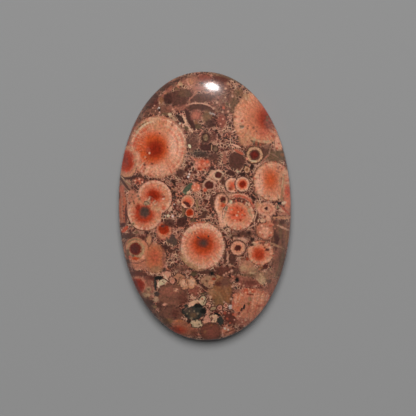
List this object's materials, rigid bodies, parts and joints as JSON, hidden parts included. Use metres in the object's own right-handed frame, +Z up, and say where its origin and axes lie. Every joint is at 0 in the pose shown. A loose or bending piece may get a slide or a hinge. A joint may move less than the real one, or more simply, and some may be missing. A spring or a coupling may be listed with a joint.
{
  "type": "poppy jasper cabochon",
  "caption": "Oval polished cabochon of orbicular jasper with a low dome, a leaning wall for a bezel and a flat chamfered back.",
  "frame": {"origin": "middle of the flat back, which the stone rests on", "axes": "+Z up through the top of the dome, +Y along the long axis towards the end that is uppermost in the picture, +X to the right in the picture"},
  "size_m": [0.029, 0.045, 0.006],
  "materials": {
    "polished_jasper": "polished"
  },
  "bodies": {
    "root": {"stone": "polished_jasper"}
  },
  "joints": []
}
